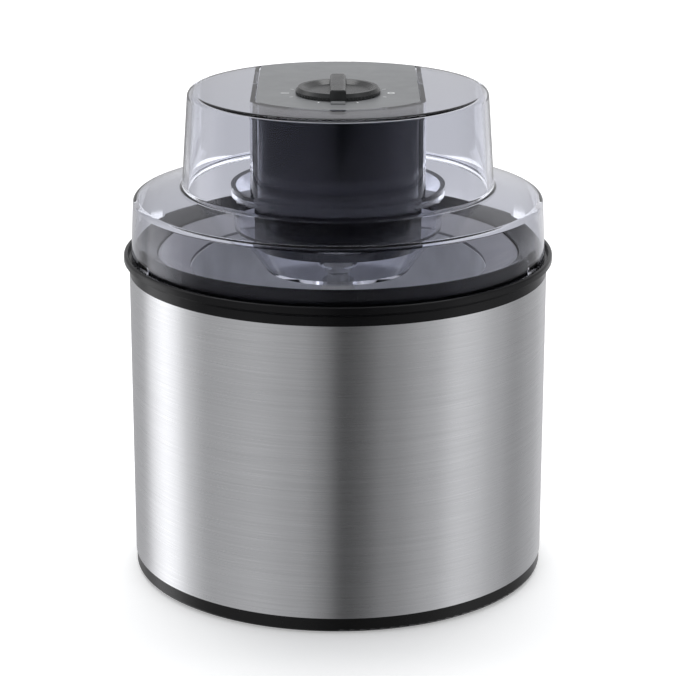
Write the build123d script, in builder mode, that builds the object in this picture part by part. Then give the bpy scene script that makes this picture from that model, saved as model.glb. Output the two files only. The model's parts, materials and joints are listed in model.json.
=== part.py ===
from build123d import *
import os
from math import acos, cos, pi, radians, sin, sqrt, tan

# Ice cream maker with a gel-filled freezer bowl and a motor unit in its clear lid.
# Millimetres. Origin at the bottom centre, +Z up, the front at -Y.

# Stand: base, steel shell, bucket and collar
SHELL_R = 105.0
SHELL_THICK = 0.6
SHELL_BOTTOM = 8.3
SHELL_TOP = 155.5
BASE_R = 104.6
BASE_BOTTOM = 1.0
FOOT_R = 9.0
FOOT_CIRCLE = 82.0
BASE_SCREW_CIRCLE = 45.0
BUCKET_FLOOR = 12.0
BUCKET_TOP = 149.9
LIP_R = 107.7
GROOVE_Z = 163.1
UPSTAND_R = 100.8
UPSTAND_TOP = 172.0
COLLAR_BORE_R = 90.3
LUG_ANGLES = (22.0, 158.0, 202.0, 338.0)

# Freezer bowl
BOWL_R = 73.6
BOWL_FLOOR_R = 66.0
BOWL_FLOOR = 34.0
BOWL_RIM_Z = 159.2
BOWL_THICK = 1.2
PIVOT_R = 5.0
PIVOT_TOP = 44.0

# Lid: two clear tiers around a pocket for the motor unit
LID_BOTTOM = 163.5
LID_R = 104.0
TIER_Z = 199.2
TIER_R = 77.3
DECK_R = 74.6
DECK_Z = 247.0
LID_THICK = 2.3
POCKET_HALF = 40.3
POCKET_FRONT_R = 51.3
POCKET_BACK_R = 72.4
CUP_BOTTOM = 158.0

# Motor unit
UNIT_HALF = 39.9
UNIT_FRONT_R = 50.9
UNIT_BACK_R = 72.0
UNIT_WALL = 2.2
UNIT_BOTTOM = 171.0
UNIT_SHOULDER = 199.6
UNIT_FLOOR = 201.3
UNIT_TOP = 244.4
GLAND_Z = 231.0
KNOB_Y = -12.0
KNOB_R = 20.8
KNOB_BOTTOM = 247.3
BAR_TOP = 253.0

# Drive train, from the paddle's shaft up to the motor
FRAME_Z = 179.0
FRAME_THICK = 2.5
COVER_Z = 199.5
COVER_THICK = 2.0
PLATE_R = 45.6
PLATE_HALF = 37.0
POSTS = ((-33.0, -22.0), (33.0, -22.0), (31.0, 26.0), (-31.0, 26.0))
OUTPUT_R = 4.0
PIN_R = 1.5
RUNNING_GAP = 0.05
OUTPUT_TEETH = 48
SMALL_TEETH = 12
IDLER_TEETH = 40
MODULE_A = 0.8
MODULE_B = 0.6
MODULE_C = 0.5
LAYER_A = 183.0
LAYER_B = 189.5
LAYER_C = 194.5
PRESSURE_ANGLE = radians(25.0)


def beyond(centre, distance, degrees):
    """The point that lies a distance away from centre, in a direction in the XY plane."""
    return (centre[0] + distance * cos(radians(degrees)), centre[1] + distance * sin(radians(degrees)))


OUTPUT_AT = (0.0, 0.0)
MESH_A = 40.0
MESH_B = 130.0
MESH_C = 130.0
IDLER_2_AT = beyond(OUTPUT_AT, MODULE_A * (OUTPUT_TEETH + SMALL_TEETH) / 2, MESH_A)
IDLER_1_AT = beyond(IDLER_2_AT, MODULE_B * (IDLER_TEETH + SMALL_TEETH) / 2, MESH_B)
MOTOR_AT = beyond(IDLER_1_AT, MODULE_C * (IDLER_TEETH + SMALL_TEETH) / 2, MESH_C)

os.makedirs("parts", exist_ok=True)


def save(piece, label):
    """Name the finished piece and write its STEP file."""
    piece.part.label = label
    export_step(piece.part, f"parts/{label}.step")


def spin(outline, rounds=(), mode=Mode.ADD):
    """Turn a closed (radius, height) outline about Z, with (corner, radius) rounds."""
    with BuildSketch(Plane.XZ) as section:
        with BuildLine():
            Polyline(*outline, close=True)
        make_face()
        for corner, radius in rounds:
            fillet(section.vertices().sort_by_distance((corner[0], corner[1], 0))[0], radius)
    revolve(section.sketch, axis=Axis.Z, mode=mode)


def rod(at, radius, bottom, top, mode=Mode.ADD):
    """An upright cylinder at an XY place."""
    with BuildSketch(Plane.XY.offset(bottom)) as section:
        with Locations(at):
            Circle(radius)
    extrude(section.sketch, amount=top - bottom, mode=mode)


def block(at, width, depth, bottom, top, mode=Mode.ADD):
    """An upright block centred on an XY place."""
    with BuildSketch(Plane.XY.offset(bottom)) as section:
        with Locations(at):
            Rectangle(width, depth)
    extrude(section.sketch, amount=top - bottom, mode=mode)


def turned(label, outline, rounds=()):
    """A whole piece that is one turned outline."""
    with BuildPart() as piece:
        spin(outline, rounds)
    save(piece, label)


def ring_of(count, radius, start=0.0):
    """Evenly spaced XY places on a circle."""
    return [beyond((0.0, 0.0), radius, start + 360.0 * step / count) for step in range(count)]


def unit_plan(half, front_radius, back_radius, corner=5.0):
    """The motor unit's plan: straight sides, a curved front and a curved back."""
    front_y = -sqrt(front_radius**2 - half**2)
    back_y = sqrt(back_radius**2 - half**2)
    with BuildLine() as outline:
        Line((-half, front_y), (-half, back_y))
        ThreePointArc((-half, back_y), (0, back_radius), (half, back_y))
        Line((half, back_y), (half, front_y))
        ThreePointArc((half, front_y), (0, -front_radius), (-half, front_y))
    plan = make_face(outline.edges())
    fillet(plan.vertices().group_by(Axis.Y)[0], corner)


def raise_plan(half, front_radius, back_radius, bottom, top, mode=Mode.ADD):
    """Extrude the motor unit's plan between two heights."""
    with BuildSketch(Plane.XY.offset(bottom)) as section:
        unit_plan(half, front_radius, back_radius)
    extrude(section.sketch, amount=top - bottom, mode=mode)


# ---- Stand -------------------------------------------------------------------------

FEET = ring_of(4, FOOT_CIRCLE, 45.0)
BASE_SCREWS = ring_of(4, BASE_SCREW_CIRCLE)
BASE_FLOOR = 3.5
BOSS_TOP = 7.0
BASE_SCREW_R = 1.7

with BuildPart() as feet:
    for place in FEET:
        rod(place, FOOT_R, 0.0, 2.3)
    fillet(feet.edges().filter_by(GeomType.CIRCLE).group_by(Axis.Z)[0], 0.8)
save(feet, "feet")

with BuildPart() as base_cover:
    spin(
        [
            (0, BASE_BOTTOM), (BASE_R, BASE_BOTTOM), (BASE_R, SHELL_BOTTOM),
            (SHELL_R - SHELL_THICK, SHELL_BOTTOM), (SHELL_R - SHELL_THICK, 14.0),
            (102.2, 14.0), (102.2, BASE_FLOOR), (0, BASE_FLOOR),
        ],
        [((BASE_R, BASE_BOTTOM), 1.6)],
    )
    for place in BASE_SCREWS:
        rod(place, 6.0, BASE_FLOOR, BOSS_TOP)
    for place in BASE_SCREWS:
        rod(place, 3.8, BASE_BOTTOM, 4.4, Mode.SUBTRACT)
        rod(place, BASE_SCREW_R + 0.2, 4.4, BOSS_TOP, Mode.SUBTRACT)
    for place in FEET:
        rod(place, FOOT_R + 0.1, BASE_BOTTOM, 2.3, Mode.SUBTRACT)
save(base_cover, "base_cover")

with BuildPart() as base_screws:
    for place in BASE_SCREWS:
        rod(place, 3.4, 2.4, 4.4)
        rod(place, BASE_SCREW_R, 4.4, 13.0)
    for place in BASE_SCREWS:
        block(place, 4.4, 0.9, 2.4, 3.2, Mode.SUBTRACT)
        block(place, 0.9, 4.4, 2.4, 3.2, Mode.SUBTRACT)
save(base_screws, "base_screws")

turned(
    "steel_shell",
    [
        (SHELL_R - SHELL_THICK, SHELL_BOTTOM), (SHELL_R, SHELL_BOTTOM),
        (SHELL_R, SHELL_TOP), (SHELL_R - SHELL_THICK, SHELL_TOP),
    ],
)

# The bucket's two floor keys stop the freezer bowl from turning.
BUCKET_INSIDE = 14.2
KEYS = ring_of(2, 62.5)

with BuildPart() as bucket:
    spin([
        (COLLAR_BORE_R, BUCKET_TOP), (92.6, BUCKET_TOP), (86.2, BUCKET_FLOOR),
        (0, BUCKET_FLOOR), (0, BUCKET_INSIDE), (83.9, BUCKET_INSIDE),
    ])
    for place in BASE_SCREWS:
        rod(place, 4.5, BOSS_TOP, BUCKET_FLOOR)
    for place in BASE_SCREWS:
        rod(place, BASE_SCREW_R, BOSS_TOP, 13.4, Mode.SUBTRACT)
    for place in KEYS:
        block(place, 14.0, 6.0, BUCKET_INSIDE - 0.4, 18.0)
save(bucket, "bucket")

with BuildPart() as collar:
    spin(
        [
            (SHELL_R, SHELL_TOP), (104.9, 160.0), (LIP_R, 162.0), (LIP_R, 165.4), (105.4, 165.4),
            (105.4, GROOVE_Z), (UPSTAND_R, GROOVE_Z), (UPSTAND_R, UPSTAND_TOP), (99.3, UPSTAND_TOP),
            (COLLAR_BORE_R, 167.4), (COLLAR_BORE_R, BUCKET_TOP), (92.6, BUCKET_TOP), (92.6, 165.2),
            (98.4, 167.8), (98.4, 160.2), (102.0, 160.2), (102.0, 148.0),
            (SHELL_R - SHELL_THICK, 148.0), (SHELL_R - SHELL_THICK, SHELL_TOP),
        ],
        [((LIP_R, 165.4), 1.2), ((105.4, 165.4), 0.8), ((UPSTAND_R, UPSTAND_TOP), 1.0)],
    )
    for angle in LUG_ANGLES:
        with BuildSketch(Plane.XY.offset(GROOVE_Z)):
            with PolarLocations(UPSTAND_R, 1, start_angle=angle):
                Rectangle(4.4, 17.0)
        extrude(amount=10.0, mode=Mode.SUBTRACT)
save(collar, "collar")

# ---- Freezer bowl --------------------------------------------------------------------

FILL_R = 6.0
BOWL_BASE = 20.0
FOOT_RING = (61.0, 64.0)

with BuildPart() as bowl_shell:
    spin(
        [
            (82.5, 156.8), (87.0, 156.8), (87.0, 149.0), (80.0, BOWL_BASE), (FOOT_RING[1], BOWL_BASE),
            (FOOT_RING[1], 14.6), (FOOT_RING[0], 14.6), (FOOT_RING[0], BOWL_BASE), (FILL_R, BOWL_BASE),
            (FILL_R, 22.4), (77.6, 22.4), (84.6, 148.0), (82.5, 151.0),
        ],
        [((80.0, BOWL_BASE), 4.0), ((77.6, 22.4), 2.5)],
    )
    for place in KEYS:
        block(place, 16.0, 7.0, 14.0, 18.4, Mode.SUBTRACT)
save(bowl_shell, "bowl_shell")

turned(
    "fill_plug",
    [(0, 18.0), (9.0, 18.0), (9.0, BOWL_BASE), (FILL_R, BOWL_BASE), (FILL_R, 22.4), (0, 22.4)],
    [((9.0, 18.0), 0.6)],
)

LINER_OUT = BOWL_FLOOR_R + BOWL_THICK
FLANGE_Z = BOWL_RIM_Z - BOWL_THICK

turned(
    "bowl_liner",
    [
        (0, PIVOT_TOP), (PIVOT_R, PIVOT_TOP), (PIVOT_R, BOWL_FLOOR), (BOWL_FLOOR_R, BOWL_FLOOR),
        (BOWL_R, BOWL_RIM_Z), (85.6, BOWL_RIM_Z), (85.6, FLANGE_Z), (BOWL_R + BOWL_THICK, FLANGE_Z),
        (LINER_OUT, BOWL_FLOOR - BOWL_THICK), (3.8, BOWL_FLOOR - BOWL_THICK), (3.8, 42.8), (0, 42.8),
    ],
    [((BOWL_FLOOR_R, BOWL_FLOOR), 10.0), ((LINER_OUT, BOWL_FLOOR - BOWL_THICK), 11.2)],
)

# The gel leaves an air space above it, to swell into as it freezes.
turned(
    "bowl_coolant",
    [(0, 22.7), (77.2, 22.7), (84.1, 146.0), (74.5, 146.0), (LINER_OUT + 0.4, 32.4), (0, 32.4)],
    [((LINER_OUT + 0.4, 32.4), 11.6), ((77.2, 22.7), 2.6)],
)

turned("bowl_gasket", [(82.6, 156.8), (86.0, 156.8), (86.0, FLANGE_Z), (82.6, FLANGE_Z)])

turned(
    "bowl_rim",
    [
        (73.9, BOWL_RIM_Z), (73.9, 160.5), (88.2, 167.0), (89.6, 166.4), (89.6, 150.0),
        (87.1, 150.0), (87.1, 161.8), (82.5, 161.8), (77.0, BOWL_RIM_Z),
    ],
)

# ---- Paddle --------------------------------------------------------------------------

HUB_TOP = 154.0
BLADE_THICK = 3.2
SOCKET = 5.3
DRIVE = 5.0
SOCKET_BOTTOM = 141.5

with BuildPart() as paddle:
    with BuildSketch(Plane.XZ) as blade:
        with BuildLine():
            Polyline(
                (0, 35.6), (53.5, 35.6), (61.0, 38.8), (64.6, 46.0), (69.4, 126.0), (68.8, 131.0),
                (0, 143.0), (0, 131.0), (60.0, 120.0), (55.6, 52.0), (49.0, 47.0), (0, 53.0), close=True,
            )
        make_face()
        mirror(about=Plane.YZ)
    extrude(amount=BLADE_THICK / 2, both=True)
    spin([
        (0, 35.0), (8.4, 35.0), (6.6, 44.0), (6.2, 138.0), (9.2, 145.5), (8.0, 149.4),
        (8.0, 151.0), (5.2, 151.0), (5.2, HUB_TOP), (0, HUB_TOP),
    ])
    rod((0, 0), PIVOT_R + RUNNING_GAP, 34.0, PIVOT_TOP + 0.4, Mode.SUBTRACT)
    block((0, 0), SOCKET, SOCKET, SOCKET_BOTTOM, HUB_TOP, Mode.SUBTRACT)
save(paddle, "paddle")

# ---- Lid -----------------------------------------------------------------------------

POCKET_WALL = 2.3
LUG_R = 99.6
GLAND_SLOT = 14.0

SHOULDER_R = 102.5
SHOULDER_Z = 193.0
SEAM_Z = 190.0
SEAM_R = 102.65
UNDER_R = 100.1
TOWER_OUT = TIER_R + 0.1
TOWER_FOOT = 196.8
DECK_SEAM = 243.0
DECK_SEAM_R = 74.8
GLAND_GAP = 7.0


def cut_gland_slot(bottom, top):
    """Open the rear of the upper tier, so that the gland can lift out."""
    block((0, 75.0), GLAND_SLOT, 12.0, bottom, top, Mode.SUBTRACT)


# The clear tiers are one moulding, kept as simple nodes so that each follows its own wall.
with BuildPart() as lid_skirt:
    spin([
        (LID_R, LID_BOTTOM), (SEAM_R, SEAM_Z), (SEAM_R - 2.5, SEAM_Z), (LID_R - LID_THICK, LID_BOTTOM),
    ])
    for angle in LUG_ANGLES:
        with BuildSketch(Plane.XY.offset(LID_BOTTOM + 0.3)):
            with PolarLocations((LUG_R + LID_R - LID_THICK + 0.6) / 2, 1, start_angle=angle):
                Rectangle(LID_R - LID_THICK + 0.6 - LUG_R, 14.0)
        extrude(amount=4.4)
save(lid_skirt, "lid_skirt")

turned(
    "lid_shoulder",
    [
        (SEAM_R, SEAM_Z), (SHOULDER_R, SHOULDER_Z), (TOWER_OUT, TIER_Z),
        (TOWER_OUT, TOWER_FOOT), (UNDER_R, SEAM_Z + 1.0), (SEAM_R - 2.5, SEAM_Z),
    ],
    [((SHOULDER_R, SHOULDER_Z), 2.4)],
)

with BuildPart() as lid_tower:
    spin([
        (TOWER_OUT - 2.35, TOWER_FOOT), (TOWER_OUT, TOWER_FOOT), (TOWER_OUT, TIER_Z),
        (DECK_SEAM_R, DECK_SEAM), (DECK_SEAM_R - 2.35, DECK_SEAM),
    ])
    cut_gland_slot(GLAND_Z - GLAND_GAP, DECK_SEAM)
save(lid_tower, "lid_tower")

with BuildPart() as lid_deck:
    spin(
        [
            (DECK_SEAM_R - 2.35, DECK_SEAM), (DECK_SEAM_R, DECK_SEAM), (DECK_R, DECK_Z), (0, DECK_Z),
            (0, DECK_Z - LID_THICK), (DECK_R - LID_THICK, DECK_Z - LID_THICK),
        ],
        [((DECK_R, DECK_Z), 3.2), ((DECK_R - LID_THICK, DECK_Z - LID_THICK), 1.0)],
    )
    raise_plan(POCKET_HALF, POCKET_FRONT_R, POCKET_BACK_R, DECK_SEAM - 1.0, DECK_Z + 1.0, Mode.SUBTRACT)
    cut_gland_slot(DECK_SEAM, DECK_Z + 1.0)
save(lid_deck, "lid_deck")

with BuildPart() as lid_pocket:
    raise_plan(
        POCKET_HALF + POCKET_WALL, POCKET_FRONT_R + POCKET_WALL, POCKET_BACK_R - 0.3,
        TIER_Z, DECK_Z - LID_THICK,
    )
    raise_plan(POCKET_HALF, POCKET_FRONT_R, 2 * POCKET_BACK_R, TIER_Z, DECK_Z, Mode.SUBTRACT)
save(lid_pocket, "lid_pocket")

with BuildPart() as splash_cup:
    raise_plan(POCKET_HALF + POCKET_WALL, POCKET_FRONT_R + POCKET_WALL, POCKET_BACK_R + 0.6, 196.8, TIER_Z)
    rod((0, 0), POCKET_FRONT_R + POCKET_WALL, 196.8, TIER_Z)
    with BuildSketch(Plane.XY.offset(196.8)):
        Circle(51.2)
        Rectangle(2 * POCKET_HALF, 120.0, mode=Mode.INTERSECT)
    extrude(amount=5.0, mode=Mode.SUBTRACT)
    spin([
        (53.6, 196.8), (51.8, 176.4), (36.5, CUP_BOTTOM), (9.5, CUP_BOTTOM),
        (9.5, 160.2), (35.4, 160.2), (49.5, 177.4), (51.2, 196.8),
    ])
save(splash_cup, "splash_cup")

# ---- Motor unit: housing and panel ------------------------------------------------------

with BuildPart() as unit_outside:
    spin([(0, UNIT_BOTTOM), (43.1, UNIT_BOTTOM), (48.8, 177.9), (50.5, UNIT_SHOULDER), (0, UNIT_SHOULDER)])
    Box(2 * UNIT_HALF, 200.0, 600.0, mode=Mode.INTERSECT)
    raise_plan(UNIT_HALF, UNIT_FRONT_R, UNIT_BACK_R, UNIT_SHOULDER, UNIT_TOP)

with BuildPart() as unit_inside:
    spin([
        (0, UNIT_BOTTOM + UNIT_WALL), (41.5, UNIT_BOTTOM + UNIT_WALL),
        (46.3, 178.6), (48.1, UNIT_FLOOR), (0, UNIT_FLOOR),
    ])
    Box(2 * (UNIT_HALF - UNIT_WALL), 200.0, 600.0, mode=Mode.INTERSECT)
    raise_plan(
        UNIT_HALF - UNIT_WALL, UNIT_FRONT_R - UNIT_WALL, UNIT_BACK_R - UNIT_WALL,
        UNIT_FLOOR, UNIT_TOP,
    )

BUSH_R = 5.5
BUSH_TOP = 178.7
SCREW_TIP = 174.0
GLAND_R = 5.5

with BuildPart() as motor_housing:
    add(unit_outside.part)
    add(unit_inside.part, mode=Mode.SUBTRACT)
    for place in POSTS:
        rod(place, 3.8, UNIT_BOTTOM, FRAME_Z)
    rod((0, 0), 8.5, UNIT_BOTTOM, BUSH_TOP)
    add(unit_outside.part, mode=Mode.INTERSECT)
    for place in POSTS:
        rod(place, PIN_R, SCREW_TIP - 0.4, FRAME_Z, Mode.SUBTRACT)
    rod((0, 0), BUSH_R, UNIT_BOTTOM, BUSH_TOP, Mode.SUBTRACT)
    with BuildSketch(Plane.XZ.offset(-UNIT_BACK_R - 1.0)):
        with Locations((0, GLAND_Z)):
            Circle(GLAND_R)
    extrude(amount=6.0, mode=Mode.SUBTRACT)
save(motor_housing, "motor_housing")

BUSHING_R = 4.4
BUSHING_TOP = 247.3
NUT_Z = 245.6

with BuildPart() as control_panel:
    raise_plan(40.0, 51.0, 72.1, UNIT_TOP, DECK_Z)
    fillet(control_panel.faces().sort_by(Axis.Z)[-1].edges(), 0.6)
    raise_plan(37.5, 48.5, 69.6, 240.0, UNIT_TOP)
    raise_plan(35.7, 46.7, 67.8, 239.0, UNIT_TOP, Mode.SUBTRACT)
    rod((0, KNOB_Y), BUSHING_R, UNIT_TOP, DECK_Z, Mode.SUBTRACT)
    rod((0, KNOB_Y), 8.0, NUT_Z, DECK_Z, Mode.SUBTRACT)
    block((0, -37.0), 6.8, 5.4, DECK_Z - 1.0, DECK_Z + 0.7)
save(control_panel, "control_panel")

MARK_THICK = 0.15
with BuildPart() as panel_marks:
    with BuildSketch(Plane.XY.offset(DECK_Z)):
        with Locations((-26.0, KNOB_Y)):
            Rectangle(4.0, 1.0)
        with Locations((26.0, KNOB_Y)):
            Circle(1.9)
            Circle(1.2, mode=Mode.SUBTRACT)
        with Locations((0, KNOB_Y)):
            with PolarLocations(24.6, 8, start_angle=22.5):
                Rectangle(1.8, 0.5)
    extrude(amount=MARK_THICK)
save(panel_marks, "panel_marks")

with BuildPart() as cable_gland:
    with BuildSketch(Plane.XZ.offset(-78.0)):
        with Locations((0, GLAND_Z)):
            Circle(GLAND_R)
    extrude(amount=10.4)
    with BuildSketch(Plane.XZ.offset(-69.2)):
        with Locations((0, GLAND_Z)):
            Circle(7.4)
    extrude(amount=2.1)
    with BuildSketch(Plane.XZ.offset(-79.0)):
        with Locations((0, GLAND_Z)):
            Circle(3.2)
    extrude(amount=13.0, mode=Mode.SUBTRACT)
save(cable_gland, "cable_gland")

# ---- Motor unit: gear frame and cover ----------------------------------------------------

EARS = ((MOTOR_AT[0] - 22.5, MOTOR_AT[1]), (MOTOR_AT[0] + 22.5, MOTOR_AT[1]))


def plate(bottom, thick):
    """A round plate with two flat sides."""
    with BuildSketch(Plane.XY.offset(bottom)) as section:
        Circle(PLATE_R)
        Rectangle(2 * PLATE_HALF, 2 * PLATE_R, mode=Mode.INTERSECT)
    extrude(section.sketch, amount=thick)


with BuildPart() as gear_frame:
    plate(FRAME_Z, FRAME_THICK)
    for place in POSTS:
        rod(place, 2.8, FRAME_Z, COVER_Z)
    for place in POSTS:
        rod(place, PIN_R + 0.1, FRAME_Z, COVER_Z, Mode.SUBTRACT)
    for place in (IDLER_1_AT, IDLER_2_AT):
        rod(place, PIN_R, FRAME_Z, COVER_Z, Mode.SUBTRACT)
    rod((0, 0), 7.5, FRAME_Z, FRAME_Z + FRAME_THICK, Mode.SUBTRACT)
save(gear_frame, "gear_frame")

with BuildPart() as gear_cover:
    plate(COVER_Z, COVER_THICK)
    for place in POSTS + EARS:
        rod(place, PIN_R + 0.1, COVER_Z, COVER_Z + COVER_THICK, Mode.SUBTRACT)
    for place in (IDLER_1_AT, IDLER_2_AT):
        rod(place, PIN_R, COVER_Z, COVER_Z + COVER_THICK, Mode.SUBTRACT)
    rod(MOTOR_AT, 4.6, COVER_Z, COVER_Z + COVER_THICK, Mode.SUBTRACT)
    rod((0, 0), 6.0, COVER_Z, COVER_Z + COVER_THICK, Mode.SUBTRACT)
save(gear_cover, "gear_cover")

COVER_TOP = COVER_Z + COVER_THICK


def cross_screw(place, head_radius, seat, tip, head=2.0):
    """A screw with its cross-recessed head on top of its seat."""
    rod(place, PIN_R, tip, seat)
    rod(place, head_radius, seat, seat + head)
    block(place, 1.2 * head_radius, 0.8, seat + head - 0.8, seat + head, Mode.SUBTRACT)
    block(place, 0.8, 1.2 * head_radius, seat + head - 0.8, seat + head, Mode.SUBTRACT)


with BuildPart() as gear_screws:
    for place in POSTS:
        cross_screw(place, 2.7, COVER_TOP, SCREW_TIP)
save(gear_screws, "gear_screws")

with BuildPart() as idler_pins:
    for place in (IDLER_1_AT, IDLER_2_AT):
        rod(place, PIN_R, FRAME_Z, COVER_TOP)
save(idler_pins, "idler_pins")

with BuildPart() as lower_bush:
    rod((0, 0), BUSH_R, UNIT_BOTTOM, BUSH_TOP)
    rod((0, 0), OUTPUT_R + RUNNING_GAP, UNIT_BOTTOM, BUSH_TOP, Mode.SUBTRACT)
save(lower_bush, "lower_bush")

with BuildPart() as upper_bush:
    rod((0, 0), 6.0, COVER_Z, COVER_TOP + 1.5)
    rod((0, 0), OUTPUT_R + RUNNING_GAP, COVER_Z, COVER_TOP + 1.5, Mode.SUBTRACT)
save(upper_bush, "upper_bush")

# ---- Motor -------------------------------------------------------------------------------

CAN_R = 18.0
CAN_TOP = 229.0
CAN_WALL = 1.2
EAR_THICK = 1.5

with BuildPart() as motor_can:
    rod(MOTOR_AT, CAN_R, COVER_TOP, CAN_TOP)
    rod(MOTOR_AT, CAN_R - CAN_WALL, COVER_TOP + CAN_WALL, CAN_TOP, Mode.SUBTRACT)
    with BuildSketch(Plane.XY.offset(COVER_TOP)):
        with Locations(MOTOR_AT):
            Rectangle(54.0, 9.0)
            Circle(CAN_R - 1.0, mode=Mode.SUBTRACT)
    extrude(amount=EAR_THICK)
    for place in EARS:
        rod(place, PIN_R + 0.1, COVER_TOP, COVER_TOP + EAR_THICK, Mode.SUBTRACT)
    rod(MOTOR_AT, PIN_R + RUNNING_GAP, COVER_TOP, COVER_TOP + CAN_WALL, Mode.SUBTRACT)
save(motor_can, "motor_can")

with BuildPart() as motor_cap:
    rod(MOTOR_AT, CAN_R, CAN_TOP, CAN_TOP + 1.6)
    rod(MOTOR_AT, CAN_R - CAN_WALL - 0.1, CAN_TOP - 2.0, CAN_TOP)
    rod(MOTOR_AT, 4.0, CAN_TOP, CAN_TOP + 3.2)
    rod(MOTOR_AT, 15.0, CAN_TOP - 2.0, CAN_TOP - 0.4, Mode.SUBTRACT)
    rod(MOTOR_AT, PIN_R + RUNNING_GAP, CAN_TOP - 2.0, CAN_TOP + 2.4, Mode.SUBTRACT)
save(motor_cap, "motor_cap")

MAGNET_OUT = CAN_R - CAN_WALL
with BuildPart() as motor_magnets:
    rod(MOTOR_AT, MAGNET_OUT, 206.0, 224.0)
    rod(MOTOR_AT, 13.6, 206.0, 224.0, Mode.SUBTRACT)
    block(MOTOR_AT, 12.0, 40.0, 206.0, 224.0, Mode.SUBTRACT)
save(motor_magnets, "motor_magnets")

with BuildPart() as motor_screws:
    for place in EARS:
        cross_screw(place, 2.6, COVER_TOP + EAR_THICK, COVER_Z)
save(motor_screws, "motor_screws")

CORE = (208.0, 222.0)
COIL_HEIGHT = 3.0
with BuildPart() as armature_core:
    rod(MOTOR_AT, 12.8, CORE[0], CORE[1])
    with BuildSketch(Plane.XY.offset(CORE[0])):
        with Locations(MOTOR_AT):
            with PolarLocations(11.0, 5):
                Rectangle(5.0, 2.2)
    extrude(amount=CORE[1] - CORE[0], mode=Mode.SUBTRACT)
    rod(MOTOR_AT, PIN_R, CORE[0], CORE[1], Mode.SUBTRACT)
save(armature_core, "armature_core")

with BuildPart() as armature_coils:
    for low, high in ((CORE[0] - COIL_HEIGHT, CORE[0]), (CORE[1], CORE[1] + COIL_HEIGHT)):
        rod(MOTOR_AT, 11.6, low, high)
        rod(MOTOR_AT, 4.6, low, high, Mode.SUBTRACT)
save(armature_coils, "armature_coils")

with BuildPart() as motor_shaft:
    rod(MOTOR_AT, PIN_R, LAYER_C - 0.2, CAN_TOP + 2.0)
save(motor_shaft, "motor_shaft")

# ---- Gears -------------------------------------------------------------------------------


def involute(angle):
    return tan(angle) - angle


def gear_points(teeth, module, at, tooth_towards):
    """The outline of a spur gear with a tooth centred on the given direction."""
    pitch_r = module * teeth / 2
    base_r = pitch_r * cos(PRESSURE_ANGLE)
    root_r = pitch_r - 1.05 * module
    tip_r = pitch_r + 0.8 * module
    half_tooth = (pi * module / 2 - 0.14 * module) / 2 / pitch_r
    start_r = max(base_r * 1.0005, root_r + 0.05 * module)
    flank = []
    for step in range(5):
        radius = start_r + (tip_r - start_r) * step / 4
        flank.append((radius, half_tooth + involute(PRESSURE_ANGLE) - involute(acos(base_r / radius))))
    flank.insert(0, (root_r, min(flank[0][1] * 1.02, 0.9 * pi / teeth)))
    points = []
    for tooth in range(teeth):
        middle = radians(tooth_towards) + 2 * pi * tooth / teeth
        for radius, half in flank:
            points.append((at[0] + radius * cos(middle - half), at[1] + radius * sin(middle - half)))
        for radius, half in reversed(flank):
            points.append((at[0] + radius * cos(middle + half), at[1] + radius * sin(middle + half)))
    return points


def toothed(teeth, module, at, tooth_towards, bottom, top):
    """A spur gear wheel between two heights."""
    with BuildSketch(Plane.XY.offset(bottom)) as section:
        with BuildLine():
            Polyline(*gear_points(teeth, module, at, tooth_towards), close=True)
        make_face()
    extrude(section.sketch, amount=top - bottom)


def gap_facing(direction, teeth):
    """The tooth direction that turns a gap towards the gear it is driven by."""
    return direction + 180.0 + 180.0 / teeth


with BuildPart() as output_gear:
    toothed(OUTPUT_TEETH, MODULE_A, OUTPUT_AT, MESH_A, LAYER_A, LAYER_B - 1.0)
    rod(OUTPUT_AT, 7.0, LAYER_A - 1.0, LAYER_B + 0.5)
    with BuildSketch(Plane.XY.offset(LAYER_A)):
        with PolarLocations(12.0, 6):
            Circle(3.0)
    extrude(amount=LAYER_B - LAYER_A, mode=Mode.SUBTRACT)
    rod(OUTPUT_AT, OUTPUT_R, LAYER_A - 1.0, LAYER_B + 0.5, Mode.SUBTRACT)
save(output_gear, "output_gear")

with BuildPart() as idler_gear_2:
    toothed(SMALL_TEETH, MODULE_A, IDLER_2_AT, gap_facing(MESH_A, SMALL_TEETH), LAYER_A, LAYER_B)
    toothed(IDLER_TEETH, MODULE_B, IDLER_2_AT, MESH_B, LAYER_B, LAYER_C - 1.0)
    rod(IDLER_2_AT, PIN_R + RUNNING_GAP, LAYER_A, LAYER_C, Mode.SUBTRACT)
save(idler_gear_2, "idler_gear_2")

with BuildPart() as idler_gear_1:
    toothed(SMALL_TEETH, MODULE_B, IDLER_1_AT, gap_facing(MESH_B, SMALL_TEETH), LAYER_B - 0.5, LAYER_C)
    toothed(IDLER_TEETH, MODULE_C, IDLER_1_AT, MESH_C, LAYER_C, LAYER_C + 4.0)
    rod(IDLER_1_AT, PIN_R + RUNNING_GAP, LAYER_B - 0.5, LAYER_C + 4.0, Mode.SUBTRACT)
save(idler_gear_1, "idler_gear_1")

with BuildPart() as motor_pinion:
    toothed(SMALL_TEETH, MODULE_C, MOTOR_AT, gap_facing(MESH_C, SMALL_TEETH), LAYER_C - 0.2, LAYER_C + 4.2)
    rod(MOTOR_AT, PIN_R, LAYER_C - 0.2, LAYER_C + 4.2, Mode.SUBTRACT)
save(motor_pinion, "motor_pinion")

# ---- Output shaft and its collar ------------------------------------------------------------

COLLAR_BOTTOM = 155.2
with BuildPart() as output_shaft:
    rod(OUTPUT_AT, OUTPUT_R, COLLAR_BOTTOM, COVER_TOP + 1.0)
    block(OUTPUT_AT, DRIVE, DRIVE, SOCKET_BOTTOM + 1.5, COLLAR_BOTTOM)
save(output_shaft, "output_shaft")

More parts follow.
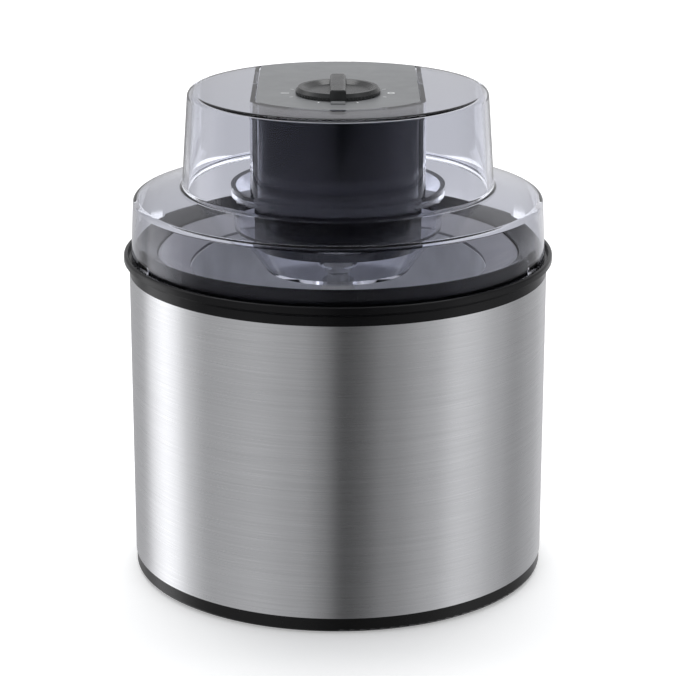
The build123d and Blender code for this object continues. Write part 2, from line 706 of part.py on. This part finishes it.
with BuildPart() as drive_collar:
    spin([
        (OUTPUT_R, COLLAR_BOTTOM), (7.2, COLLAR_BOTTOM), (7.2, 161.5), (5.8, 163.0),
        (5.8, UNIT_BOTTOM - 1.0), (OUTPUT_R, UNIT_BOTTOM - 1.0),
    ], [((7.2, COLLAR_BOTTOM), 0.8)])
save(drive_collar, "drive_collar")

# ---- Switch, board and leads ------------------------------------------------------------------

SWITCH_BOTTOM = 232.4
SHAFT_R = 2.8
SHAFT_TOP = 251.4
KNOB_AT = (0.0, KNOB_Y)

with BuildPart() as switch_body:
    block(KNOB_AT, 24.0, 24.0, SWITCH_BOTTOM, UNIT_TOP)
    fillet(switch_body.edges().filter_by(Axis.Z), 2.0)
    rod(KNOB_AT, BUSHING_R, UNIT_TOP, BUSHING_TOP)
    rod(KNOB_AT, SHAFT_R + RUNNING_GAP, SWITCH_BOTTOM + 3.0, BUSHING_TOP, Mode.SUBTRACT)
save(switch_body, "switch_body")

with BuildPart() as switch_nut:
    with BuildSketch(Plane.XY.offset(NUT_Z)):
        with Locations(KNOB_AT):
            RegularPolygon(7.0, 6)
            Circle(BUSHING_R, mode=Mode.SUBTRACT)
    extrude(amount=1.5)
save(switch_nut, "switch_nut")

with BuildPart() as switch_shaft:
    rod(KNOB_AT, SHAFT_R, SWITCH_BOTTOM + 3.5, SHAFT_TOP)
save(switch_shaft, "switch_shaft")

DISH_Z = 248.8
RIM_Z = 250.5
RIM_INSIDE = 17.6
BAR_WIDTH = 7.8
BAR_HALF = 21.0

with BuildPart() as knob:
    with BuildSketch(Plane.XY.offset(KNOB_BOTTOM)):
        with Locations(KNOB_AT):
            Circle(KNOB_R)
            with PolarLocations(KNOB_R + 0.35, 60):
                Circle(0.7, mode=Mode.SUBTRACT)
    extrude(amount=1.2)
    rod(KNOB_AT, KNOB_R, KNOB_BOTTOM + 1.2, RIM_Z)
    chamfer(knob.edges().group_by(Axis.Z)[-1], 1.7, 1.3)
    with Locations((0, KNOB_Y, (DISH_Z + RIM_Z) / 2)):
        Cone(RIM_INSIDE - 3.0, RIM_INSIDE, RIM_Z - DISH_Z, mode=Mode.SUBTRACT)
    with BuildSketch(Plane.XY.offset(KNOB_BOTTOM)):
        with Locations(KNOB_AT):
            Rectangle(BAR_WIDTH, 2 * KNOB_R + 2.0)
            Circle(BAR_HALF, mode=Mode.INTERSECT)
    extrude(amount=BAR_TOP - KNOB_BOTTOM)
    fillet(knob.edges().group_by(Axis.Z)[-1], 1.9)
    rod(KNOB_AT, 9.0, KNOB_BOTTOM, 247.9, Mode.SUBTRACT)
    rod(KNOB_AT, SHAFT_R, KNOB_BOTTOM, SHAFT_TOP, Mode.SUBTRACT)
save(knob, "knob")

BOARD_Z = 206.0
BOARD_AT = (0.0, -20.0)
BOARD_SIZE = (44.0, 30.0)
BOARD_THICK = 1.6
BOARD_TOP = BOARD_Z + BOARD_THICK

with BuildPart() as circuit_board:
    block(BOARD_AT, *BOARD_SIZE, BOARD_Z, BOARD_TOP)
save(circuit_board, "circuit_board")

with BuildPart() as board_spacers:
    with BuildSketch(Plane.XY.offset(COVER_TOP)):
        with Locations(BOARD_AT):
            with GridLocations(36.0, 22.0, 2, 2):
                Circle(2.2)
    extrude(amount=BOARD_Z - COVER_TOP)
save(board_spacers, "board_spacers")

with BuildPart() as bridge_rectifier:
    block((-10.0, -24.0), 13.0, 9.0, BOARD_TOP, BOARD_TOP + 5.0)
save(bridge_rectifier, "bridge_rectifier")

with BuildPart() as capacitor:
    rod((10.0, -25.0), 5.0, BOARD_TOP, BOARD_TOP + 14.0)
    fillet(capacitor.edges().sort_by(Axis.Z)[-1], 0.6)
save(capacitor, "capacitor")

LEAD_R = 0.9


def lead_routes(side):
    """The three leads on one side: inlet to switch, switch to board, board to motor."""
    return (
        (
            (1.6 * side, 65.0, GLAND_Z), (13.0 * side, 58.0, 235.5),
            (12.0 * side, 20.0, 237.0), (6.0 * side, 1.0, 238.0),
        ),
        (
            (10.0 * side, 1.1, 234.5), (13.0 * side, 4.0, 226.0),
            (13.0 * side, 0.0, 214.0), (12.0 * side, -7.5, 209.2),
        ),
        (
            (6.0 * side, -7.5, 209.2), (7.0 * side, 6.0, 212.0),
            (9.0 * side, 14.0, 226.0), (8.0 * side, 31.0, 231.8),
        ),
    )


with BuildPart() as inner_leads:
    for route in lead_routes(-1.0) + lead_routes(1.0):
        with BuildLine() as path:
            Spline(*route)
        with BuildSketch(Plane(origin=path.line @ 0, z_dir=path.line % 0)) as section:
            Circle(LEAD_R)
        sweep(section.sketch, path=path.line)
save(inner_leads, "inner_leads")
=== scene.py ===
import json
from math import asin, cos, pi, radians, sin, sqrt

import bmesh
import bpy
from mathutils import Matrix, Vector


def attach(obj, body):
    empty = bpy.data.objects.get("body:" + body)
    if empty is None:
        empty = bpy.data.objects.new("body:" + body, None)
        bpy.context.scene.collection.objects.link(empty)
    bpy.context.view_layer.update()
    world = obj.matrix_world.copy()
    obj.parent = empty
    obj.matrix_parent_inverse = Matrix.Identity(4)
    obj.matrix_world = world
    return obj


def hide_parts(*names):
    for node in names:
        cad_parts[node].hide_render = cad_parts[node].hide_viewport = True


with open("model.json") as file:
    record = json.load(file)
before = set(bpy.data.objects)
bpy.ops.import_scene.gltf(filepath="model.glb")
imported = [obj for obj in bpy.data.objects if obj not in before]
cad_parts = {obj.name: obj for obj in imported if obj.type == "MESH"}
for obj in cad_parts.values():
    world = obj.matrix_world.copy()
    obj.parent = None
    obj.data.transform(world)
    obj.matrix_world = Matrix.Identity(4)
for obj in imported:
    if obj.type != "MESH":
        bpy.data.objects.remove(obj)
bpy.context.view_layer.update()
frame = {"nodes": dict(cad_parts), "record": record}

NODES = frame["nodes"]


# ---- Node helpers ------------------------------------------------------------------


class Shader:
    """One Principled material and the nodes that feed it."""

    def __init__(self, name, colour, roughness, metallic=0.0, **sockets):
        self.material = bpy.data.materials.new(name)
        self.material.use_nodes = True
        self.tree = self.material.node_tree
        self.principled = self.tree.nodes["Principled BSDF"]
        self.principled.inputs["Base Color"].default_value = (*colour, 1.0)
        self.principled.inputs["Roughness"].default_value = roughness
        self.principled.inputs["Metallic"].default_value = metallic
        for socket, value in sockets.items():
            self.principled.inputs[socket.replace("_", " ")].default_value = value
        self.colour = colour
        self.coords = self.tree.nodes.new("ShaderNodeTexCoord").outputs["Object"]

    def node(self, kind, **inputs):
        made = self.tree.nodes.new(kind)
        for socket, value in inputs.items():
            self.feed(made.inputs[socket.replace("_", " ")], value)
        return made

    def feed(self, socket, value):
        if isinstance(value, bpy.types.NodeSocket):
            self.tree.links.new(value, socket)
        else:
            socket.default_value = value

    def noise(self, scale, stretch=(1.0, 1.0, 1.0), detail=3.0):
        """Noise in the object's own metres, squeezed along each axis by stretch."""
        mapping = self.node("ShaderNodeMapping", Vector=self.coords, Scale=stretch)
        return self.node(
            "ShaderNodeTexNoise", Vector=mapping.outputs["Vector"], Scale=scale, Detail=detail
        ).outputs["Fac"]

    def span(self, value, low, high, start=0.3, end=0.7):
        """Spread a 0 to 1 value between two numbers."""
        made = self.node("ShaderNodeMapRange", Value=value)
        made.inputs["From Min"].default_value = start
        made.inputs["From Max"].default_value = end
        made.inputs["To Min"].default_value = low
        made.inputs["To Max"].default_value = high
        return made.outputs["Result"]

    def tint(self, value, low, high):
        """Colour that runs from low to high times the base colour."""
        made = self.tree.nodes.new("ShaderNodeMix")
        made.data_type = "RGBA"
        self.feed(made.inputs["Factor"], value)
        made.inputs["A"].default_value = (*[c * low for c in self.colour], 1.0)
        made.inputs["B"].default_value = (*[min(1.0, c * high) for c in self.colour], 1.0)
        self.tree.links.new(made.outputs["Result"], self.principled.inputs["Base Color"])

    def roughen(self, value):
        self.feed(self.principled.inputs["Roughness"], value)

    def bump(self, height, distance, strength=0.4):
        made = self.node("ShaderNodeBump", Height=height, Distance=distance, Strength=strength)
        self.tree.links.new(made.outputs["Normal"], self.principled.inputs["Normal"])


# ---- Materials ---------------------------------------------------------------------


def brushed_steel(name, colour, roughness, line_scale=900.0):
    """Stainless steel with horizontal brush lines."""
    shader = Shader(name, colour, roughness, metallic=1.0, Anisotropic=0.85, Anisotropic_Rotation=0.25)
    around = shader.tree.nodes.new("ShaderNodeTangent")
    around.direction_type = "RADIAL"
    around.axis = "Z"
    shader.feed(shader.principled.inputs["Tangent"], around.outputs["Tangent"])
    lines = shader.noise(1.0, (14.0, 14.0, line_scale), 4.0)
    strokes = shader.noise(1.0, (40.0, 40.0, 2.4 * line_scale), 2.0)
    shader.tint(shader.span(lines, 0.0, 1.0), 0.93, 1.03)
    shader.roughen(shader.span(strokes, roughness - 0.04, roughness + 0.05))
    shader.bump(lines, 0.00002, 0.2)
    return shader.material


def plated(name, colour, roughness=0.25, metallic=1.0):
    """Bright plated or turned metal with faint handling marks."""
    shader = Shader(name, colour, roughness, metallic)
    cloud = shader.noise(60.0)
    shader.tint(shader.span(cloud, 0.0, 1.0), 0.85, 1.05)
    shader.roughen(shader.span(shader.noise(220.0), roughness - 0.07, roughness + 0.12))
    shader.bump(shader.noise(900.0), 0.00001, 0.2)
    return shader.material


def moulded(name, colour, roughness, grain=1400.0, depth=0.00002, **sockets):
    """Moulded plastic: fine grain, slight flow marks and uneven gloss."""
    shader = Shader(name, colour, roughness, **sockets)
    shader.tint(shader.span(shader.noise(18.0), 0.0, 1.0), 0.93, 1.06)
    shader.roughen(shader.span(shader.noise(75.0), max(0.02, roughness - 0.05), roughness + 0.06))
    shader.bump(shader.noise(grain, detail=2.0), depth, 0.3)
    return shader.material


def clear(name, colour, roughness):
    """Clear polished plastic with a very slight moulding waviness."""
    shader = Shader(
        name, colour, roughness, Transmission_Weight=1.0, IOR=1.34, Specular_Tint=(0.2, 0.2, 0.26, 1.0)
    )
    shader.roughen(shader.span(shader.noise(40.0), roughness, roughness + 0.025))
    shader.bump(shader.noise(22.0, detail=1.0), 0.0002, 0.06)
    return shader.material


FINISH = {
    "brushed_steel": brushed_steel("brushed_steel", (0.66, 0.665, 0.675), 0.3, 1500.0),
    "plated_steel": plated("plated_steel", (0.66, 0.67, 0.68)),
    "core_steel": brushed_steel("core_steel", (0.3, 0.3, 0.31), 0.45, 2500.0),
    "bowl_aluminium": plated("bowl_aluminium", (0.82, 0.83, 0.87), 0.55, 0.25),
    "bronze": plated("bronze", (0.55, 0.38, 0.18), 0.4),
    "copper_wire": plated("copper_wire", (0.66, 0.28, 0.12), 0.32),
    "ferrite": moulded("ferrite", (0.07, 0.07, 0.075), 0.62, 800.0, 0.00004),
    "black_rubber": moulded("black_rubber", (0.018, 0.018, 0.018), 0.72, 1800.0, 0.00004),
    "grey_rubber": moulded("grey_rubber", (0.2, 0.2, 0.21), 0.68, 1800.0, 0.00004),
    "black_gloss_plastic": moulded(
        "black_gloss_plastic", (0.003, 0.003, 0.0035), 0.2, 900.0, 0.000008, Specular_IOR_Level=0.2
    ),
    "black_plastic": moulded("black_plastic", (0.004, 0.004, 0.004), 0.3, 1500.0, Specular_IOR_Level=0.25),
    "dark_plastic": moulded(
        "dark_plastic", (0.0012, 0.0014, 0.0024), 0.14, 1100.0, 0.000003, Specular_IOR_Level=0.3
    ),
    "knob_plastic": moulded("knob_plastic", (0.02, 0.021, 0.021), 0.25, 1300.0, 0.00001),
    "panel_grey_plastic": moulded("panel_grey_plastic", (0.19, 0.195, 0.2), 0.36, 2200.0),
    "clear_plastic": clear("clear_plastic", (0.92, 0.93, 0.98), 0.005),
    "light_grey_plastic": moulded("light_grey_plastic", (0.52, 0.54, 0.56), 0.36),
    "grey_liner_plastic": moulded("grey_liner_plastic", (0.16, 0.16, 0.18), 0.42),
    "natural_plastic": moulded("natural_plastic", (0.7, 0.67, 0.58), 0.45),
    "gear_plastic": moulded("gear_plastic", (0.82, 0.8, 0.73), 0.42),
    "white_plastic": moulded("white_plastic", (0.85, 0.85, 0.83), 0.28, 1300.0, 0.00001),
    "white_print": moulded("white_print", (0.75, 0.76, 0.76), 0.6, 3000.0),
    "coolant_gel": moulded("coolant_gel", (0.12, 0.3, 0.5), 0.25),
    "board_green": moulded("board_green", (0.03, 0.16, 0.07), 0.3, 500.0),
    "lead_insulation": moulded("lead_insulation", (0.3, 0.02, 0.015), 0.42),
}

slots = {part["node"]: part["material_slot"] for part in frame["record"]["subparts"]}
for name, obj in NODES.items():
    obj.data.materials.clear()
    obj.data.materials.append(FINISH[slots[name]])


# ---- Clear lid -----------------------------------------------------------------------
# One smooth moulding stands for the lid's plain CAD nodes. Millimetres, as in the CAD.

MM = 0.001
ON_AXIS = 1e-6
LID_NODES = ("lid_skirt", "lid_shoulder", "lid_tower", "lid_deck", "lid_pocket")
LID_TURNS = 256
# Corners as radius, height and rounding, up the outside to the axis and back down the inside.
OUTSIDE = (
    (104.0, 163.5, 0.6), (102.5, 193.0, 2.6), (78.0, 198.95, 2.4),
    (74.6, 247.0, 3.2), (0.0, 247.0, 0.0),
)
INSIDE = (
    (0.0, 244.7, 0.0), (72.3, 244.7, 1.2), (74.95, 196.9, 1.0),
    (100.1, 191.0, 1.4), (101.7, 163.5, 0.6),
)
POCKET = {"half": 40.3, "front": 51.3, "back": 72.4, "wall": 2.3, "foot": 199.2}
WALLS_TOP = 245.8
BACK_OVERLAP = 0.6
OPENING_BELOW = 5.0
OPENING_TOP = 255.0
SLOT_HALF = 7.0
SLOT_FRONT, SLOT_BACK = 69.0, 81.0
SLOT_LOW, SLOT_HIGH = 224.0, 249.0
LUG_ANGLES = (22.0, 158.0, 202.0, 338.0)
LUG_IN, LUG_OUT = 99.6, 102.2
LUG_HALF = 7.0
LUG_LOW, LUG_HIGH = 163.8, 168.2
SHARP_EDGE = 32.0


def rounded(corners, steps=7):
    """The points of a (radius, height) outline whose corners are rounded to their third value."""
    points = []
    for k, (x, z, radius) in enumerate(corners):
        here = Vector((x, z))
        if radius == 0.0:
            points.append(here)
            continue
        before = (Vector(corners[k - 1][:2]) - here).normalized()
        after = (Vector(corners[(k + 1) % len(corners)][:2]) - here).normalized()
        half = before.angle(after) / 2
        centre = here + (before + after).normalized() * radius / sin(half)
        start = here + before * radius / (sin(half) / cos(half)) - centre
        end = here + after * radius / (sin(half) / cos(half)) - centre
        for step in range(steps + 1):
            points.append(centre + radius * start.slerp(end, step / steps))
    return points


def finished(name, build):
    """An object in the scene from a closed bmesh, which is freed."""
    mesh = bpy.data.meshes.new(name)
    bmesh.ops.recalc_face_normals(build, faces=build.faces)
    build.to_mesh(mesh)
    build.free()
    obj = bpy.data.objects.new(name, mesh)
    bpy.context.collection.objects.link(obj)
    return obj


def lathe(name, outline, turns):
    """A closed solid: a closed (radius, height) outline in millimetres, turned about Z."""
    build = bmesh.new()
    rings = []
    for point in outline:
        if point.x < ON_AXIS:
            rings.append([build.verts.new((0.0, 0.0, point.y * MM))])
            continue
        rings.append([
            build.verts.new((
                point.x * MM * cos(2 * pi * k / turns),
                point.x * MM * sin(2 * pi * k / turns),
                point.y * MM,
            ))
            for k in range(turns)
        ])
    for low, high in zip(rings, rings[1:] + rings[:1]):
        if len(low) == 1 and len(high) == 1:
            continue
        for k in range(turns):
            after = (k + 1) % turns
            corners = [
                low[k % len(low)], low[after % len(low)],
                high[after % len(high)], high[k % len(high)],
            ]
            build.faces.new(list(dict.fromkeys(corners)))
    return finished(name, build)


def pocket_outline(half, front, back, corner=5.0, steps=24):
    """The motor pocket's plan: straight sides, with a curved front and back."""
    front_angle = asin((half - 0.6 * corner) / front)
    back_angle = asin(half / back)
    points = []
    for step in range(steps + 1):
        turn = -front_angle + 2 * front_angle * step / steps
        points.append(Vector((front * sin(turn), -front * cos(turn))))
    side = Vector((half, -sqrt(front**2 - half**2) + 0.6 * corner))
    points.append(side)
    for step in range(steps + 1):
        turn = back_angle - 2 * back_angle * step / steps
        points.append(Vector((back * sin(turn), back * cos(turn))))
    points.append(Vector((-side.x, side.y)))
    return points


def prism(name, outline, low, high):
    """An upright closed solid on a plan outline."""
    build = bmesh.new()
    bottom = [build.verts.new((p.x * MM, p.y * MM, low * MM)) for p in outline]
    face = build.faces.new(bottom)
    made = bmesh.ops.extrude_face_region(build, geom=[face])
    top = [v for v in made["geom"] if isinstance(v, bmesh.types.BMVert)]
    bmesh.ops.translate(build, verts=top, vec=(0.0, 0.0, (high - low) * MM))
    return finished(name, build)


def combine(target, tool, operation):
    """Apply one exact boolean to target, and delete the tool."""
    change = target.modifiers.new("combine", "BOOLEAN")
    change.object = tool
    change.operation = operation
    change.solver = "EXACT"
    evaluated = target.evaluated_get(bpy.context.evaluated_depsgraph_get())
    result = bpy.data.meshes.new_from_object(evaluated)
    target.modifiers.clear()
    target.data = result
    bpy.data.objects.remove(tool)


def clear_lid():
    """The lid's two tiers, with the motor pocket, the gland's slot and the locking lugs."""
    lid = lathe("lid_tiers", rounded(OUTSIDE + INSIDE), LID_TURNS)
    wall = POCKET["wall"]
    walls = prism(
        "walls",
        pocket_outline(POCKET["half"] + wall, POCKET["front"] + wall, POCKET["back"] + BACK_OVERLAP),
        POCKET["foot"], WALLS_TOP,
    )
    combine(lid, walls, "UNION")
    opening = prism(
        "opening", pocket_outline(POCKET["half"], POCKET["front"], POCKET["back"]),
        POCKET["foot"] - OPENING_BELOW, OPENING_TOP,
    )
    combine(lid, opening, "DIFFERENCE")
    slot_plan = [
        Vector((-SLOT_HALF, SLOT_FRONT)), Vector((SLOT_HALF, SLOT_FRONT)),
        Vector((SLOT_HALF, SLOT_BACK)), Vector((-SLOT_HALF, SLOT_BACK)),
    ]
    combine(lid, prism("slot", slot_plan, SLOT_LOW, SLOT_HIGH), "DIFFERENCE")
    for angle in LUG_ANGLES:
        turn = radians(angle)
        out = Vector((cos(turn), sin(turn)))
        side = Vector((-out.y, out.x)) * LUG_HALF
        lug_plan = [
            out * LUG_IN - side, out * LUG_OUT - side, out * LUG_OUT + side, out * LUG_IN + side,
        ]
        combine(lid, prism("lug", lug_plan, LUG_LOW, LUG_HIGH), "UNION")
    lid.data.shade_smooth()
    lid.data.set_sharp_from_angle(angle=radians(SHARP_EDGE))
    lid.data.materials.clear()
    lid.data.materials.append(FINISH["clear_plastic"])
    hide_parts(*LID_NODES)
    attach(lid, "lid")
    return lid


# Light reaches the bowl through the clear pieces.
for piece in (clear_lid(), NODES["splash_cup"]):
    piece.visible_shadow = False


# ---- Studio ------------------------------------------------------------------------


FLOOR_GAP = 0.0002
FLOOR_GLOW = 0.3


def studio_floor():
    """A pale floor that curves up into a backdrop."""
    half, front, back, bend, top, steps = 6.0, -30.0, 3.2, 1.2, 5.0, 16
    profile = [(front, 0.0), (back - bend, 0.0)]
    for step in range(1, steps + 1):
        turn = pi / 2 * step / steps
        profile.append((back - bend + bend * sin(turn), bend - bend * cos(turn)))
    profile.append((back, top))
    mesh = bpy.data.meshes.new("studio_floor")
    verts = [(side, y, z - FLOOR_GAP) for y, z in profile for side in (-half, half)]
    faces = [(2 * i, 2 * i + 1, 2 * i + 3, 2 * i + 2) for i in range(len(profile) - 1)]
    mesh.from_pydata(verts, [], faces)
    mesh.shade_smooth()
    floor = bpy.data.objects.new("studio_floor", mesh)
    bpy.context.collection.objects.link(floor)
    floor.visible_glossy = False
    shader = Shader("floor_paper", (0.93, 0.93, 0.93), 0.85)
    shader.tint(shader.noise(3.0), 0.995, 1.005)
    shader.principled.inputs["Emission Color"].default_value = (1.0, 1.0, 1.0, 1.0)
    shader.principled.inputs["Emission Strength"].default_value = FLOOR_GLOW
    mesh.materials.append(shader.material)


def softbox(name, azimuth, distance, height, width, tall, power, aim=0.12):
    """A soft light, with its azimuth counted from the front towards +X."""
    data = bpy.data.lights.new(name, "AREA")
    data.shape = "RECTANGLE"
    data.size = width
    data.size_y = tall
    data.energy = power
    light = bpy.data.objects.new(name, data)
    bpy.context.collection.objects.link(light)
    turn = radians(azimuth)
    light.location = (distance * sin(turn), -distance * cos(turn), height)
    facing = Vector((0.0, 0.0, aim)) - light.location
    light.rotation_euler = facing.to_track_quat("-Z", "Y").to_euler()
    light.visible_camera = False
    light.visible_glossy = name == "overhead"
    light.visible_transmission = False


# Brightness of the screens that stand around the object, by azimuth from the front towards +X.
SCREENS = (
    (-180, 0.55), (-150, 0.50), (-128, 0.50), (-117, 1.30), (-104, 1.75), (-94, 1.25), (-84, 0.70),
    (-74, 0.44), (-62, 0.52), (-44, 0.58), (-20, 0.46), (-8, 0.30), (2, 0.07), (12, 0.13), (26, 0.30),
    (50, 0.52), (66, 0.86), (76, 0.80), (90, 0.58), (108, 0.38), (128, 0.50), (150, 0.72),
)


def screens():
    """A ring of bright and dark screens, seen only in reflections and through the clear lid."""
    radius, low, high, sides = 0.9, -1.2, 1.5, 96
    mesh = bpy.data.meshes.new("screens")
    ring = [(radius * cos(2 * pi * i / sides), radius * sin(2 * pi * i / sides)) for i in range(sides)]
    verts = [(x, y, z) for z in (low, high) for x, y in ring]
    faces = [(i, (i + 1) % sides, sides + (i + 1) % sides, sides + i) for i in range(sides)]
    mesh.from_pydata(verts, [], faces)
    material = bpy.data.materials.new("screens")
    material.use_nodes = True
    tree = material.node_tree
    tree.nodes.clear()
    coords = tree.nodes.new("ShaderNodeTexCoord")
    around = tree.nodes.new("ShaderNodeTexGradient")
    around.gradient_type = "RADIAL"
    ramp = tree.nodes.new("ShaderNodeValToRGB")
    ramp.color_ramp.interpolation = "EASE"
    stops = ramp.color_ramp.elements
    places = sorted(((azimuth / 360 + 0.25) % 1.0, bright) for azimuth, bright in SCREENS)
    while len(stops) < len(places):
        stops.new(0.5)
    for stop, (place, bright) in zip(stops, places):
        stop.position = place
        stop.color = (bright, bright, 1.02 * bright, 1.0)
    emission = tree.nodes.new("ShaderNodeEmission")
    output = tree.nodes.new("ShaderNodeOutputMaterial")
    tree.links.new(coords.outputs["Object"], around.inputs["Vector"])
    tree.links.new(around.outputs["Fac"], ramp.inputs["Fac"])
    tree.links.new(ramp.outputs["Color"], emission.inputs["Color"])
    tree.links.new(emission.outputs["Emission"], output.inputs["Surface"])
    mesh.materials.append(material)
    ring_object = bpy.data.objects.new("screens", mesh)
    bpy.context.collection.objects.link(ring_object)
    for rays in ("camera", "diffuse", "volume_scatter", "shadow"):
        setattr(ring_object, "visible_" + rays, False)


WORLD_LIGHT = 0.42


def studio():
    """The floor, the screens, an even sky and three soft lights."""
    studio_floor()
    screens()
    world = bpy.data.worlds.new("studio")
    world.use_nodes = True
    sky = world.node_tree.nodes["Background"]
    sky.inputs["Color"].default_value = (0.95, 0.97, 1.0, 1.0)
    sky.inputs["Strength"].default_value = WORLD_LIGHT
    bpy.context.scene.world = world
    softbox("front_left", -33.0, 1.9, 0.6, 1.0, 1.6, 7.0)
    softbox("front_right", 40.0, 1.9, 0.6, 0.8, 1.6, 4.0)
    softbox("overhead", 180.0, 0.9, 2.3, 2.6, 1.6, 42.0)
    view = bpy.context.scene.view_settings
    view.view_transform = "Standard"
    view.look = "None"


CAMERA_AT = (0.0, -1.2121, 0.4896)
CAMERA_TILT = 72.95
CAMERA_LENS = 132.4


def camera():
    """The view of the photo, from the front and a little above."""
    data = bpy.data.cameras.new("camera")
    data.sensor_width = 36.0
    data.lens = CAMERA_LENS
    data.clip_end = 50.0
    view = bpy.data.objects.new("camera", data)
    bpy.context.collection.objects.link(view)
    view.location = CAMERA_AT
    view.rotation_euler = (radians(CAMERA_TILT), 0.0, 0.0)
    bpy.context.scene.camera = view


studio()
camera()
